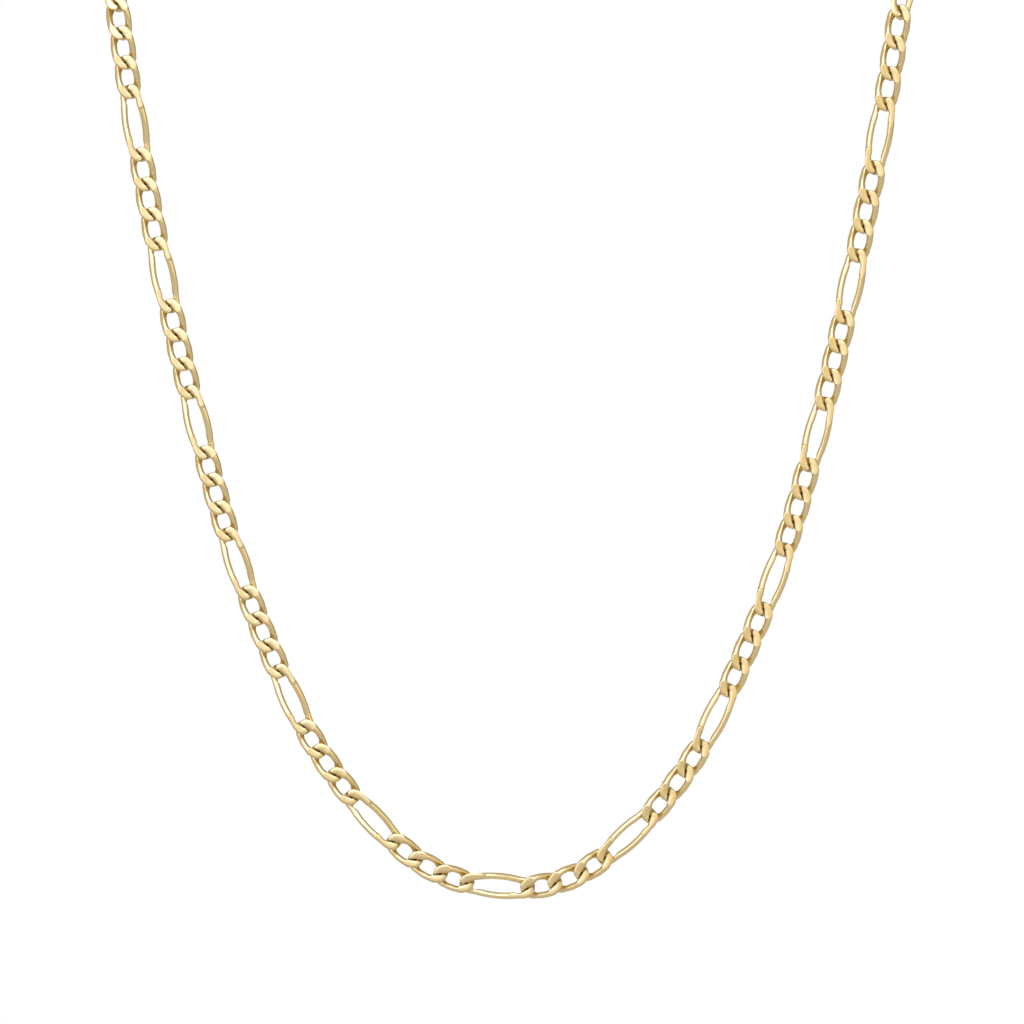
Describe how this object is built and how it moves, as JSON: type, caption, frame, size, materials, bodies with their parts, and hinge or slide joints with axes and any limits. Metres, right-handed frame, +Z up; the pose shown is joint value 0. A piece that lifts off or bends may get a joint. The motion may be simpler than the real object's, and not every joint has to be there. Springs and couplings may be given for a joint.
{
  "type": "figaro chain necklace",
  "caption": "Closed yellow gold figaro chain, short twisted oval links between longer ones, hanging in a long U, with a loop round the neck and a claw clasp at the nape.",
  "frame": {"origin": "on the axis of the neck, level with the clasp at the nape, where the necklace sits on the wearer's neck", "axes": "+Z up along the neck, -Y to the front where the chain drapes, +X to the viewer's right"},
  "size_m": [0.1062, 0.092, 0.1442],
  "materials": {
    "short_link_gold": "polished yellow gold wire with satin pressed faces",
    "long_link_gold": "polished yellow gold wire with satin pressed faces",
    "ring_gold": "polished yellow gold wire",
    "clasp_gold": "polished yellow gold, cast"
  },
  "bodies": {
    "root": {"short_links": "short_link_gold", "long_links": "long_link_gold", "end_ring": "ring_gold", "clasp_ring": "ring_gold", "clasp": "clasp_gold"}
  },
  "joints": []
}
